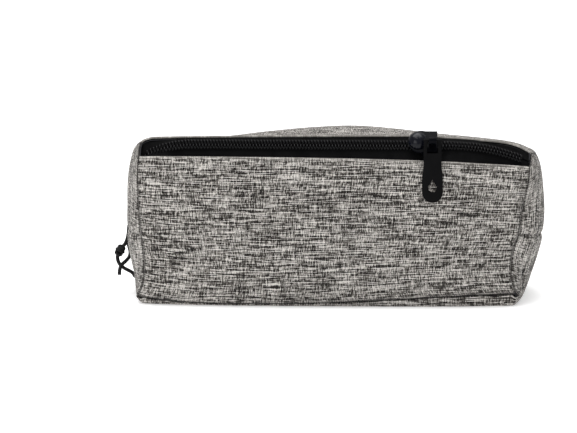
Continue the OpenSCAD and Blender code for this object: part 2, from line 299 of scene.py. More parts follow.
def melange(name):
    n = Nodes(name)
    u, v = n.uv_parts("cloth")
    weft, weft_shape, row = yarn(n, u, v, *WEFT)
    warp, warp_shape, column = yarn(n, v, u, *WARP)
    weft_on_top = n.math("ADD", n.math("MULTIPLY", n.checker(row, column), WEFT_CHANGE), WEFT_SHARE)
    tone = n.mix_value(weft_on_top, warp, weft)
    color = n.ramp(tone, YARN_TONES)
    shape = n.mix_value(weft_on_top, n.math("MULTIPLY", warp_shape, 0.8), weft_shape)
    # Each yarn is painted darker towards its edges: painted shade between the yarns.
    color = n.mix(0.8, color, n.grey_ramp(shape, 0.0, 0.42, 0.7, 1.0), "MULTIPLY")
    patchy = n.noise(n.combine(u, v, 5.0), 0.05, 3.0)
    color = n.mix(0.5, color, n.grey_ramp(patchy, 0.35, 0.78, 0.65, 1.0), "MULTIPLY")
    # The seam attribute is painted shade along the seams where it is above zero, and a painted highlight
    # along folded edges where it is below zero.
    seam = n.tree.nodes.new("ShaderNodeAttribute")
    seam.attribute_name = "seam"
    sewn = n.math("MULTIPLY", seam.outputs["Fac"], 0.97, clamp=True)
    # Painted highlight: the cloth is lightened along its folded edges by the zip.
    folded = n.math("MULTIPLY", seam.outputs["Fac"], -0.5, clamp=True)
    color = n.mix(sewn, color, SEAM_SHADE)
    color = n.mix(folded, color, PAINTED_HEM_HIGHLIGHT)
    n.put(n.shader.inputs["Base Color"], color)
    n.put(n.shader.inputs["Roughness"], n.grey_ramp(shape, 0.0, 0.95, 1.0, 0.78))
    n.set(Sheen_Weight=0.06, Sheen_Roughness=0.5, Specular_IOR_Level=0.2)
    n.bump(n.math("ADD", shape, n.math("MULTIPLY", weft, 0.6)), 0.6, 0.00022)
    return n.material


CLOTH = melange("melange_cloth")


# %% [markdown]
# The lining, the zip tapes and the bound seams are plain, evenly dyed weaves. They could be flat
# colours, but a fine checker of yarns gives them the dull, slightly cloudy look of woven tape.

# %% Lining, tape and binding


def plain_weave(name, color, pitch, sheen):
    n = Nodes(name)
    u, v = n.uv_parts("cloth")
    a, row = yarn(n, u, v, pitch, 4, 1.0)[1:]
    b, column = yarn(n, v, u, pitch, 4, 2.0)[1:]
    shape = n.mix_value(n.checker(row, column), a, b)
    # Colour runs from a dim tone to the full one with the yarn profile and a cloudy noise: painted shade
    # between the yarns, and a random cloudy tone.
    dim = tuple(0.55 * c for c in color)
    cloudy = n.noise(n.combine(u, v, 2.0), 0.25, 3.0)
    n.put(n.shader.inputs["Base Color"], n.mix(n.math("MULTIPLY", shape, cloudy), dim, color))
    n.put(n.shader.inputs["Roughness"], n.grey_ramp(cloudy, 0.3, 0.9, 0.7, 0.7))
    n.set(Sheen_Weight=sheen, Sheen_Roughness=0.4, Specular_IOR_Level=0.06)
    n.bump(shape, 0.5, 0.00015)
    return n.material


LINING = plain_weave("lining_cloth", (0.05, 0.05, 0.055), 0.32, 0.05)
TAPE = plain_weave("zip_tape_cloth", (0.0022, 0.0022, 0.0025), 0.6, 0.0)
BINDING = plain_weave("binding_cloth", (0.012, 0.012, 0.013), 0.5, 0.02)

# %% [markdown]
# The small hard parts are one even colour each: nylon wire, a painted casting, a moulded puller and
# a bare spring. A fine grain and a slow change of roughness keep them from looking like flat plastic.
# The cord is braided, so its material is two sets of crossing ridges.

# %% Nylon, paint, plastic, steel and cord


def speckled(name, color, rough, bump, metallic=0.0, grain=1800.0, specular=0.3):
    n = Nodes(name)
    place = n.object_place()
    fine = n.noise(place, grain, 3.0, 0.6)
    broad = n.noise(place, grain / 14, 3.0, 0.6)
    lighter = tuple(min(1.0, 1.6 * c + 0.001) for c in color)
    n.put(n.shader.inputs["Base Color"], n.mix(n.math("MULTIPLY", broad, 0.8), color, lighter))
    n.put(n.shader.inputs["Roughness"], n.grey_ramp(broad, 0.3, rough - 0.08, 0.7, rough + 0.1))
    n.set(Metallic=metallic, Specular_IOR_Level=specular)
    n.bump(n.math("ADD", fine, broad), bump, 0.0001)
    return n.material


NYLON = speckled("coil_nylon", (0.0009, 0.0009, 0.0012), 0.1, 0.1, specular=0.13)
PAINT = speckled("slider_paint", (0.0026, 0.003, 0.0054), 0.2, 0.12, grain=1400.0, specular=0.16)
CASTING = speckled("slider_casting", (0.0015, 0.0017, 0.0026), 0.34, 0.15, grain=1400.0, specular=0.03)
PULLER = speckled("puller_moulding", (0.0024, 0.0024, 0.0026), 0.5, 0.3, grain=2600.0, specular=0.04)
STEEL = speckled("spring_steel", (0.55, 0.55, 0.56), 0.3, 0.1, metallic=1.0)


def braid(name, color):
    n = Nodes(name)
    place = n.object_place(1000.0)
    parts = n.tree.nodes.new("ShaderNodeSeparateXYZ")
    n.tree.links.new(place, parts.inputs[0])
    up = n.math("MULTIPLY", parts.outputs[2], 5.0)
    side = n.math("MULTIPLY", n.math("ADD", parts.outputs[0], parts.outputs[1]), 4.0)
    plait = n.math("ABSOLUTE", n.math("SINE", n.math("ADD", up, side)))
    other = n.math("ABSOLUTE", n.math("SINE", n.math("SUBTRACT", up, side)))
    height = n.math("MULTIPLY", plait, other)
    # The grooves between the ridges are painted darker: painted shade.
    n.put(n.shader.inputs["Base Color"], n.mix(height, tuple(0.4 * c for c in color), color))
    n.put(n.shader.inputs["Roughness"], n.grey_ramp(height, 0.0, 0.9, 1.0, 0.55))
    n.set(Specular_IOR_Level=0.3)
    n.bump(height, 0.6, 0.0002)
    return n.material


CORD = braid("cord_braid", (0.006, 0.006, 0.007))
print("materials:", len(bpy.data.materials))

# %% [markdown]
# ## Seam lines
# A pouch is a set of flat cloth pieces sewn edge to edge, so its shape is decided by its seams.
# Each seam is one smooth line through a few points, and two panels that share a seam share the
# same line. That keeps every join closed however the panels swell.

# %% Smooth lines


def place(x, y, z):
    """A point of a case 200 mm long and 60 mm deep, on this frame's case."""
    return np.array([x / 100 * HALF_L, y / 30 * HALF_D, z * MM])


def line(*points):
    """A smooth line through points, as a function of 0 to 1 by length."""
    knots = np.array([place(*p) for p in points])
    ends = np.array([2 * knots[0] - knots[1], *knots, 2 * knots[-1] - knots[-2]])
    fine = []
    for i in range(1, len(ends) - 2):
        a, b, c, d = ends[i - 1 : i + 3]
        for t in np.linspace(0, 1, 12, endpoint=False):
            fine.append(0.5 * (2 * b + (c - a) * t + (2 * a - 5 * b + 4 * c - d) * t**2
                               + (3 * b - a - 3 * c + d) * t**3))
    fine = np.array([*fine, knots[-1]])
    length = np.concatenate([[0], np.cumsum(np.linalg.norm(np.diff(fine, axis=0), axis=1))])
    share = length / length[-1]

    def at(t):
        return np.stack([np.interp(t, share, fine[:, k]) for k in range(3)], axis=-1)

    return at


zip_front_edge = line((-94, -22.5, 71.4), (-80, -24, 71.8), (-50, -24.6, 71.8), (0, -24.8, 71.4),
                      (36, -24.8, 70.6), (55, -24.4, 69.8), (75, -23.4, 68.6), (92.2, -21.6, 67.2))
zip_rear_edge = line((-93.4, -15, 76.8), (-89, -14.5, 78.8), (-80, -14.3, 79.4), (-40, -14.2, 80),
                     (0, -14.2, 80.4), (36, -14.2, 80.6), (50, -14.2, 80), (73, -14, 78.4),
                     (84, -14.2, 76.8), (93.2, -15.5, 73))
front_crease = line((-95, -24.5, 3.6), (-86, -26.6, 2.5), (-66, -28.2, 1.1), (-30, -29, 1),
                    (0, -29.4, 1.9), (40, -29.2, 4.2), (70, -27.4, 5.6), (87.6, -25, 5.6))
rear_crease = line((-95, 25, 3), (-60, 28.6, 3.4), (0, 29.6, 3.6), (60, 28.6, 3.4), (89.6, 25, 3))
fold_line = line((-96, 16, 69), (-76, 17.4, 71), (-56, 17.8, 72.6), (-36, 18, 76), (-14, 18, 78.4),
                 (8, 18, 79.4), (28, 18, 78), (44, 18, 76), (69, 17.6, 73.4), (84, 17, 71.2),
                 (94.5, 16, 67.4))
back_top_edge = line((-94.5, 25, 62), (-60, 27.6, 64.6), (0, 28.2, 68), (60, 27.6, 65), (94, 25, 60.5))
left_front_low = line((-95, -24.5, 3.6), (-91.8, -26.2, 12), (-91, -27.2, 22), (-92.4, -27, 34))
left_front_high = line((-92.4, -27, 34), (-93.4, -26.2, 48), (-94.2, -24.6, 60), (-94, -22.5, 71.4))
right_front_low = line((87.6, -25, 5.6), (85.2, -26.2, 9.5), (83.4, -27.2, 17), (83.8, -27.6, 26),
                       (86.8, -27.4, 35.6))
right_front_high = line((86.8, -27.4, 35.6), (88.9, -26.8, 50), (91.4, -24.8, 60), (92.2, -21.6, 67.2))
left_back_low = line((-95, 25, 3), (-93, 27.4, 14), (-93.6, 28, 34))
left_back_high = line((-93.6, 28, 34), (-94.6, 27.6, 50), (-94.5, 25, 62))
right_back_low = line((89.6, 25, 3), (89.8, 27.4, 14), (92.4, 28, 33))
right_back_high = line((92.4, 28, 33), (94, 27.6, 48), (94, 25, 60.5))
left_mid_seam = line((-92.4, -27, 34), (-98, -18, 33.4), (-100, -2, 33), (-98.6, 16, 33.4),
                     (-93.6, 28, 34))
right_mid_seam = line((86.8, -27.4, 35.6), (94.6, -20, 33.6), (98.4, -4, 31), (97.6, 14, 31.4),
                      (92.4, 28, 33))
left_foot = line((-95, -24.5, 3.6), (-95.8, -10, 2.2), (-96, 8, 2.2), (-95, 25, 3))
right_foot = line((87.6, -25, 5.6), (88.6, -20, 3.4), (89.6, -10, 2.2), (90.4, 6, 2.2), (89.6, 25, 3))
left_brow = line((-93.4, -15, 77), (-95.4, -8, 74.6), (-96.4, 4, 72), (-96, 16, 69))
right_brow = line((93.2, -15.5, 73), (95, -6, 70.6), (95.4, 6, 69), (94.5, 16, 67.4))
left_shoulder = line((-96, 16, 69), (-95.8, 21, 66.4), (-94.5, 25, 62))
right_shoulder = line((94.5, 16, 67.4), (94.6, 21, 64), (94, 25, 60.5))
left_zip_end = line((-94, -22.5, 71.4), (-94, -18.8, 74.4), (-93.4, -15, 77))
right_zip_end = line((92.2, -21.6, 67.2), (93, -18.8, 70), (93.2, -15.5, 73))

# %% [markdown]
# ## Cloth panels
# A panel between four seams is a Coons patch: a grid stretched between its four edges. It could be
# sculpted by hand, but the patch gives an even grid that follows the seams. It is then swollen along
# its normal, because a filled pouch is tight in the middle and pulled in at its seams, and each edge
# dips a little, as sewn cloth does.

# %% Patch


def patch(low, high, left, right):
    def at(u, v):
        u, v = u[:, None], v[:, None]
        flat_u, flat_v = u[:, 0], v[:, 0]
        edges = (1 - v) * low(flat_u) + v * high(flat_u) + (1 - u) * left(flat_v) + u * right(flat_v)
        corners = ((1 - u) * (1 - v) * low(0.0) + u * (1 - v) * low(1.0)
                   + (1 - u) * v * high(0.0) + u * v * high(1.0))
        return edges - corners

    return at


def joined(first, second, share):
    """Two lines end to end, the first up to that share."""
    def at(t):
        t = np.asarray(t, float)
        before = first(np.clip(t / share, 0, 1))
        after = second(np.clip((t - share) / (1 - share), 0, 1))
        return np.where((t < share)[..., None], before, after)

    return at


def normals_of(at, u, v, outward):
    step = 0.002
    du = at(np.clip(u + step, 0, 1), v) - at(np.clip(u - step, 0, 1), v)
    dv = at(u, np.clip(v + step, 0, 1)) - at(u, np.clip(v - step, 0, 1))
    n = np.cross(du, dv)
    n /= np.maximum(np.linalg.norm(n, axis=1), 1e-12)[:, None]
    return n * np.sign(n @ np.array(outward, float))[:, None].clip(-1, 1)


def ripple(points, size, seed):
    """Smooth random heights from -1 to 1, at that size in metres."""
    places = [Vector((p[0] / size, p[1] / size + seed, p[2] / size)) for p in points]
    return np.array([noise.noise(place) for place in places])


def seam_distance(base, u, v, edges):
    """How far each point lies from the nearest of its sewn edges (left, right, low, high)."""
    width = np.linalg.norm(base(np.ones_like(v), v) - base(np.zeros_like(v), v), axis=1)
    height = np.linalg.norm(base(u, np.ones_like(u)) - base(u, np.zeros_like(u)), axis=1)
    away = [u * width, (1 - u) * width, v * height, (1 - v) * height]
    return np.minimum.reduce([d + (0 if edge else 1) for edge, d in zip(edges, away)])


def swollen(base, outward, swell, edges=(1, 1, 1, 1), seed=0.0, inset=0.0, wrinkles=1.0, dark=None,
            hem=(0, 0, 0, 0)):
    """The patch pushed out by swell(u, v), pulled in at its sewn edges and lightly wrinkled.

    dark says which edges get the painted seam shade, where that isn't all the sewn ones; hem says which
    are folded and get a painted highlight.
    """
    def at(u, v):
        points = base(u, v)
        n = normals_of(base, u, v, outward)
        near = seam_distance(base, u, v, edges)
        along = points[:, 0] + points[:, 2] + 0.6 * points[:, 1]
        dip = np.exp(-((near / (1.1 * MM)) ** 1.5))
        pucker = np.sin(along / (2.4 * MM) + 3 * ripple(points, 9 * MM, seed + 4))
        pucker = pucker * np.exp(-near / (3.5 * MM))
        inside = np.clip(seam_distance(base, u, v, (1, 1, 1, 1)) / (10 * MM), 0, 1)
        wrinkle = 0.6 * ripple(points, 30 * MM, seed) + 0.22 * ripple(points, 12 * MM, seed + 9)
        height = swell(u, v) - 0.8 * dip + 0.1 * pucker * (1 - dip) + wrinkles * inside * wrinkle
        return points + n * (height[:, None] * MM - inset)

    # near and hem are read by sheet() for the painted seam shade and the painted highlight on folded
    # edges.
    at.near = lambda u, v: seam_distance(base, u, v, dark or edges)
    at.hem = lambda u, v: seam_distance(base, u, v, hem)
    return at


def dome(amount, across=1.0, up=1.0):
    def at(u, v):
        arch_u = np.clip(np.sin(math.pi * u), 0, 1)
        arch_v = np.clip(np.sin(math.pi * v), 0, 1)
        return amount * arch_u**across * arch_v**up

    return at


# %% [markdown]
# A sheet of cloth is a grid laid on a patch. It could be made point by point, but a primitive grid
# moved onto the patch and given a thickness is shorter, and its corners carry the cloth's UV map.

# %% Sheet from a patch


def select_only(obj):
    bpy.ops.object.select_all(action="DESELECT")
    obj.select_set(True)
    bpy.context.view_layer.objects.active = obj


def apply_all(obj):
    select_only(obj)
    for modifier in list(obj.modifiers):
        bpy.ops.object.modifier_apply(modifier=modifier.name)


SEAM_W = 0.8 * MM
HEM_W = 0.9 * MM


def cloth_uv(obj, u, v, width, height, turned):
    """A UV map in millimetres along the cloth's yarns."""
    layer = obj.data.uv_layers.get("cloth") or obj.data.uv_layers.new(name="cloth")
    index = np.zeros(len(obj.data.loops), int)
    obj.data.loops.foreach_get("vertex_index", index)
    a, b = u * width / MM, v * height / MM
    uv = np.stack([b, a] if turned else [a, b], axis=1)[index]
    layer.data.foreach_set("uv", uv.astype(np.float32).ravel())


def sheet(name, at, cells, outward, thick, material, turned=False, u_range=(0, 1), offset=-1.0):
    """A cloth sheet on a patch: a grid whose points are laid on it, given its thickness."""
    across, up = cells
    bpy.ops.object.select_all(action="DESELECT")
    bpy.ops.mesh.primitive_grid_add(x_subdivisions=across, y_subdivisions=up, size=1)
    obj = bpy.context.object
    obj.name = name
    flat = np.array([v.co for v in obj.data.vertices], float)
    u = u_range[0] + (flat[:, 0] + 0.5) * (u_range[1] - u_range[0])
    v = flat[:, 1] + 0.5
    points = at(u, v)
    obj.data.vertices.foreach_set("co", points.astype(np.float32).ravel())
    # Painted shade near the seams minus a painted highlight along the folded edges, kept as the seam
    # attribute.
    seam = obj.data.attributes.new("seam", "FLOAT", "POINT")
    near = at.near(u, v) if hasattr(at, "near") else np.ones_like(u)
    hem = at.hem(u, v) if hasattr(at, "hem") else np.ones_like(u)
    painted_shade_and_highlight = np.exp(-((near / SEAM_W) ** 2)) - np.exp(-((hem / HEM_W) ** 2))
    seam.data.foreach_set("value", painted_shade_and_highlight.astype(np.float32))
    steps, middles = np.linspace(0, 1, 60), np.full(60, 0.5)
    width = np.linalg.norm(np.diff(at(steps, middles), axis=0), axis=1).sum()
    height = np.linalg.norm(np.diff(at(middles, steps), axis=0), axis=1).sum()
    cloth_uv(obj, u, v, width, height, turned)
    obj.data.update()
    middle = obj.data.polygons[len(obj.data.polygons) // 2]
    if middle.normal.dot(Vector(outward)) < 0:
        obj.data.flip_normals()
    solid = obj.modifiers.new("thickness", "SOLIDIFY")
    solid.thickness = thick
    solid.offset = offset
    solid.use_even_offset = False
    apply_all(obj)
    bpy.ops.object.shade_smooth()
    obj.data.materials.clear()
    obj.data.materials.append(material)
    print(f"{name}: {width * 1000:.0f} x {height * 1000:.0f} mm, {len(obj.data.polygons)} faces")
    return obj


# %% [markdown]
# The front and the top each open with a lip, so each is laid in two sheets that meet where the
# mouth opens widest. Both sheets come from the same patch, so the cloth runs on over the join.

# %% Front, top, back and bottom
CLOTH_T = 0.9 * MM
MOUTH_MID = -30 * MM
FRONTWARD, BACKWARD, UPWARD, DOWNWARD = (0, -1, 0), (0, 1, 0), (0, 0, 1), (0, 0, -1)
REAR_UPWARD = (0, 0.5, 1)
FULL_CELLS, LEFT_CELLS, RIGHT_CELLS = 240, 110, 176
FRONT_SWELL, SHOULDER_SWELL, BACK_SWELL = 2.2, 1.6, 1.6
LEFT_MID, RIGHT_MID, BACK_MID = 0.45, 0.47, 0.5


def share_at(edge, x):
    """The share of an edge's length at which it passes x."""
    t = np.linspace(0, 1, 400)
    return float(np.interp(x, edge(t)[:, 0], t))


def cloth(name, at, cells, outward, turned=False, u_range=(0, 1)):
    return sheet(name, at, cells, outward, CLOTH_T, CLOTH, turned=turned, u_range=u_range)


front_base = patch(front_crease, zip_front_edge, joined(left_front_low, left_front_high, LEFT_MID),
                   joined(right_front_low, right_front_high, RIGHT_MID))
# The folded zip edge (hem) gets a painted highlight.
front = swollen(front_base, FRONTWARD, dome(FRONT_SWELL, 0.4, 1.1), (1, 1, 1, 0), 1.0, wrinkles=0.4,
                hem=(0, 0, 0, 1))
SPLIT_U = share_at(zip_front_edge, MOUTH_MID)
front_left = cloth("front_panel_left", front, (LEFT_CELLS, 76), FRONTWARD, u_range=(0, SPLIT_U))
front_right = cloth("front_panel_right", front, (RIGHT_CELLS, 76), FRONTWARD, u_range=(SPLIT_U, 1))

top_base = patch(zip_rear_edge, fold_line, left_brow, right_brow)


def top_swell(u, v):
    return 0.7 * np.clip(np.sin(math.pi * v), 0, 1) ** 0.8


# The folded zip edge (hem) gets a painted highlight.
top = swollen(top_base, UPWARD, top_swell, (1, 1, 0, 0), 5.0, wrinkles=0.35, hem=(0, 0, 1, 0))
SPLIT_TOP = share_at(zip_rear_edge, MOUTH_MID)
top_left = cloth("top_panel_left", top, (LEFT_CELLS, 40), UPWARD, u_range=(0, SPLIT_TOP))
top_right = cloth("top_panel_right", top, (RIGHT_CELLS, 40), UPWARD, u_range=(SPLIT_TOP, 1))

shoulder_base = patch(fold_line, back_top_edge, left_shoulder, right_shoulder)
shoulder_swell = dome(SHOULDER_SWELL, 0.3, 1.0)
shoulder = swollen(shoulder_base, REAR_UPWARD, shoulder_swell, (1, 1, 0, 0), 7.0, wrinkles=0.35)
top_shoulder = cloth("top_panel_shoulder", shoulder, (FULL_CELLS, 18), REAR_UPWARD)

back_base = patch(rear_crease, back_top_edge, joined(left_back_low, left_back_high, BACK_MID),
                  joined(right_back_low, right_back_high, BACK_MID))
back = swollen(back_base, BACKWARD, dome(BACK_SWELL, 0.45, 0.8), (1, 1, 1, 0), 11.0)
back_panel = cloth("back_panel_cloth", back, (FULL_CELLS, 64), BACKWARD)

bottom_base = patch(front_crease, rear_crease, left_foot, right_foot)
ARC_SHARE = 0.08
ARC_IN = 0.045
END_RISE = 4 * MM


def bottom(u, v):
    """The bottom rolls down from its creases in a quarter turn and lies flat on the surface."""
    side = np.minimum(v, 1 - v)
    turn = np.clip(side / ARC_SHARE, 0, 1) * math.pi / 2
    flat = (side - ARC_SHARE) / (0.5 - ARC_SHARE) * (0.5 - ARC_IN) + ARC_IN
    inward = np.where(side < ARC_SHARE, ARC_IN * (1 - np.cos(turn)), flat)
    points = bottom_base(u, np.where(v < 0.5, inward, 1 - inward))
    end = np.clip(np.minimum(u, 1 - u) * 2 * HALF_L / END_RISE, 0, 1)
    rolled = np.maximum(1 - np.sin(turn), 0) * end + (1 - end) ** 2
    points[:, 2] *= np.where(v + end > 0, rolled, 1)
    return points


bottom_panel = cloth("bottom_panel_cloth", bottom, (FULL_CELLS, 72), DOWNWARD)

# %% [markdown]
# Each end is two pieces that meet in a seam at mid height. The upper one swells out over the seam,
# and its yarns run upright, because the cloth of the top folds down there.

# %% Ends
left_top = joined(left_zip_end, joined(left_brow, left_shoulder, 0.72), 0.18)
right_top = joined(right_zip_end, joined(right_brow, right_shoulder, 0.72), 0.18)
END_W = 50 * MM
TUCK_FOOT, TUCK_LEAN, TUCK_TOP = 0.25, 0.2, 0.42
TUCK_DEEP, TUCK_W = 1.1, 1.2 * MM


def tuck_distance(u, v):
    """How far a point of the right end's lower piece lies from the tuck sewn in near its front."""
    past_its_top = np.clip(v - TUCK_TOP, 0, 1) * 6 * MM
    return np.abs(u - TUCK_FOOT + TUCK_LEAN * v) * END_W + past_its_top


def tucked(swell):
    def at(u, v):
        return swell(u, v) - TUCK_DEEP * np.exp(-((tuck_distance(u, v) / TUCK_W) ** 2))

    return at


ends = {}
for side, outward, mid, foot, top_edge, front_low, front_high, back_low, back_high, seed in (
    ("left", (-1, 0, 0), left_mid_seam, left_foot, left_top, left_front_low, left_front_high,
     left_back_low, left_back_high, 15.0),
    ("right", (1, 0, 0), right_mid_seam, right_foot, right_top, right_front_low, right_front_high,
     right_back_low, right_back_high, 21.0),
):
    upper_base = patch(mid, top_edge, front_high, back_high)
    lower_base = patch(foot, mid, front_low, back_low)
    lower_swell = dome(3.4, 0.7, 0.6)
    if side == "right":
        lower_swell = tucked(lower_swell)
    upper = swollen(upper_base, outward, dome(2, 0.7, 0.5), (1, 1, 1, 1), seed, dark=(1, 1, 0, 1))
    lower = swollen(lower_base, outward, lower_swell, (1, 1, 0, 1), seed + 3, dark=(1, 1, 0, 0))
    # On the right end the tuck's line also gets the painted seam shade.
    if side == "right":
        corner_near = lower.near
        lower.near = lambda u, v: np.minimum(corner_near(u, v), tuck_distance(u, v))
    ends[side + "_upper"] = cloth(f"{side}_end_upper_cloth", upper, (66, 50), outward, turned=True)
    ends[side + "_lower"] = cloth(f"{side}_end_lower_cloth", lower, (66, 40), outward, turned=True)

# %% [markdown]
# ## Zip
# A coil zip is two woven tapes, each with a spiral of nylon sewn to its edge. The spiral's bends are
# the teeth. One bend is swept once, as a short tube, and copied along the chain's line, each row half
# a step from the other so that they mesh.

# %% The chain's line
coil_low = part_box("coil_front_lip")[0]
coil_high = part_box("coil_rear_lip")[1]
SLOPE = math.radians(43)
ACROSS = np.array([0, math.cos(SLOPE), math.sin(SLOPE)])
OFF = np.array([0, -math.sin(SLOPE), math.cos(SLOPE)])
CHAIN_H = 2.2 * MM
coil_mid = np.array([0, (coil_low.y + coil_high.y) / 2, (coil_low.z + coil_high.z) / 2])
chain_mid = coil_mid - OFF * CHAIN_H / 2
slider_low, slider_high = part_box("slider_body")
print("chain middle:", np.round(chain_mid * 1000, 2), "slider from", round(slider_low.x * 1000, 1),
      "to", round(slider_high.x * 1000, 1), "mm")
mid_y, mid_z = chain_mid[1] / HALF_D * 30, chain_mid[2] / MM
chain_line = line((-92.6, mid_y - 0.8, mid_z - 6.6), (-89.5, mid_y - 0.6, mid_z - 5),
                  (-85, mid_y, mid_z - 3), (-79, mid_y, mid_z - 1.2), (-72, mid_y, mid_z - 0.2),
                  (-64, mid_y, mid_z), (0, mid_y, mid_z), (30, mid_y, mid_z), (50, mid_y, mid_z),
                  (60, mid_y, mid_z - 0.3), (66, mid_y, mid_z - 0.8), (72, mid_y, mid_z - 1.7),
                  (79, mid_y, mid_z - 3.4), (86, mid_y - 0.4, mid_z - 5.6), (91.6, mid_y - 1, mid_z - 7.8))


def chain_at(x):
    """The chain's middle at those x."""
    t = np.linspace(0, 1, 800)
    points = chain_line(t)
    return np.stack([np.interp(x, points[:, 0], points[:, k]) for k in range(3)], axis=-1)


# %% [markdown]
# The tape is the woven band that each coil is sewn to. It runs from under the panel's folded edge to
# the middle of the chain. A flat strip would do, but a patch between those two lines follows both.

# %% Tapes
ROW_IN = 0.35 * MM
RUN_X0, RUN_X1 = -80 * MM, 72 * MM
RUN_FADE = 6 * MM
TAPE_UNDER = 1.1 * MM
TAPE_RISE = 0.5 * MM


def tape_patch(edge, side, tuck):
    """The tape between a panel's edge and the middle of the chain, tucked under both.

    Where the slider runs, the tape keeps the tilt that it has inside the slider.
    """
    def ends_at(t):
        outer = edge(t)
        inner = chain_at(outer[:, 0]) + side * ROW_IN * ACROSS
        return outer, inner, (outer - inner) @ OFF

    level = ends_at(np.array([share_at(edge, (slider_low.x + slider_high.x) / 2)]))[2]

    def at(u, v):
        outer, inner, height = ends_at(u)
        run = np.minimum(outer[:, 0] - RUN_X0, RUN_X1 - outer[:, 0])
        outer = outer + OFF * ((level - height) * np.clip(run / RUN_FADE, 0, 1))[:, None]
        outer = outer + (outer - inner) * tuck - OFF * TAPE_UNDER
        rise = np.clip(v * 1.25, 0, 1)[:, None]
        points = outer + (inner - outer) * v[:, None]
        return points + OFF * TAPE_RISE * rise

    return at


TAPE_T = 0.55 * MM
front_tape, rear_tape = tape_patch(zip_front_edge, -1, 0.08), tape_patch(zip_rear_edge, 1, -0.02)
tapes = {}
for where, at, cells, u_range in (
    ("front_left", front_tape, LEFT_CELLS, (0, SPLIT_U)),
    ("front_right", front_tape, RIGHT_CELLS, (SPLIT_U, 1)),
    ("rear_left", rear_tape, LEFT_CELLS, (0, SPLIT_TOP)),
    ("rear_right", rear_tape, RIGHT_CELLS, (SPLIT_TOP, 1)),
):
    row, half = where.split("_")
    tapes[where] = sheet(f"{row}_tape_{half}", at, (cells, 10), OFF, TAPE_T, TAPE, u_range=u_range)

# %% [markdown]
# One bend of the wire is a short curve made a mesh, and a row is copies of it joined into one piece.
# An array along a curve could do this, but placing each copy lets the two rows mesh to the right of
# the slider's left end and stand a little apart to the left of it.

# %% Coil rows
PITCH = 1.5 * MM
WIRE_R = 0.36 * MM
ROW_W = 2.1 * MM


def coil_bend():
    """One bend of the spiral, across the tape: out along its top, round the head and back under."""
    wide, high = ROW_W, 0.8 * CHAIN_H - 2 * WIRE_R
    route = [(-0.5 * PITCH, -wide, 0.3 * high), (-0.32 * PITCH, -wide * 0.96, 0.75 * high),
             (-0.12 * PITCH, -wide * 0.7, high), (0, -wide * 0.3, high), (0, 0.1 * wide, 0.92 * high),
             (0.02 * PITCH, 0.24 * wide, 0.5 * high), (0.05 * PITCH, 0.1 * wide, 0.08 * high),
             (0.2 * PITCH, -wide * 0.3, 0), (0.38 * PITCH, -wide * 0.7, 0),
             (0.5 * PITCH, -wide, 0.3 * high)]
    data = bpy.data.curves.new("bend", "CURVE")
    data.dimensions = "3D"
    data.bevel_depth = WIRE_R
    data.bevel_resolution = 1
    data.resolution_u = 1
    spline = data.splines.new("NURBS")
    spline.points.add(len(route) - 1)
    for point, (x, y, z) in zip(spline.points, route):
        point.co = (x, y, z + WIRE_R, 1)
    spline.use_endpoint_u = True
    spline.order_u = 3
    obj = bpy.data.objects.new("bend", data)
    bpy.context.scene.collection.objects.link(obj)
    select_only(obj)
    bpy.ops.object.convert(target="MESH")
    return bpy.context.object


bend = coil_bend()
print("one bend:", len(bend.data.polygons), "faces")
ROWS_MESHED = 0.1 * MM
ROWS_APART = 0.45 * MM
MESH_FROM = slider_low.x + 4 * MM
ROWS_FORWARD = 0.35 * MM


def coil_row(name, side, x0, x1):
    """A row of copies of the bend from x0 to x1; side is -1 for the front row, 1 for the rear one."""
    copies = []
    for x in np.arange(x0, x1, PITCH) + (0 if side < 0 else PITCH / 2):
        here, ahead = chain_at(np.array([x - 0.2 * MM, x + 0.2 * MM]))
        forward = (ahead - here) / np.linalg.norm(ahead - here)
        off = np.cross(forward, ACROSS)
        apart = ROWS_MESHED if x > MESH_FROM else ROWS_APART
        middle = (here + ahead) / 2 + (side * apart - ROWS_FORWARD) * ACROSS
        turn = Matrix(np.stack([forward, -side * ACROSS, off], axis=1).tolist()).to_4x4()
        copy = bend.copy()
        copy.data = bend.data.copy()
        copy.data.transform(Matrix.Translation(middle) @ turn)
        bpy.context.scene.collection.objects.link(copy)
        copies.append(copy)
    select_only(copies[0])
    for copy in copies:
        copy.select_set(True)
    bpy.ops.object.join()
    row = bpy.context.object
    row.name = name
    bpy.ops.object.mode_set(mode="EDIT")
    bpy.ops.mesh.select_all(action="SELECT")
    bpy.ops.mesh.normals_make_consistent(inside=False)
    bpy.ops.object.mode_set(mode="OBJECT")
    bpy.ops.object.shade_smooth()
    row.data.materials.clear()
    row.data.materials.append(NYLON)
    print(f"{name}: {len(copies)} bends, {len(row.data.polygons)} faces")
    return row


COIL_X0, COIL_X1 = -90 * MM, 88 * MM
coils = {
    "front_left": coil_row("front_coil_left", -1, COIL_X0, MOUTH_MID),
    "front_right": coil_row("front_coil_right", -1, MOUTH_MID, COIL_X1),
    "rear_left": coil_row("rear_coil_left", 1, COIL_X0, MOUTH_MID),
    "rear_right": coil_row("rear_coil_right", 1, MOUTH_MID, COIL_X1),
}
bpy.data.objects.remove(bend)

# %% [markdown]
# ## Slider and puller
# These are hard, small parts whose shape the CAD holds. A cast and painted part has no sharp edge, so
# each is a copy of its CAD solid with its doubles merged and its edges bevelled.

# %% Bevelled copies


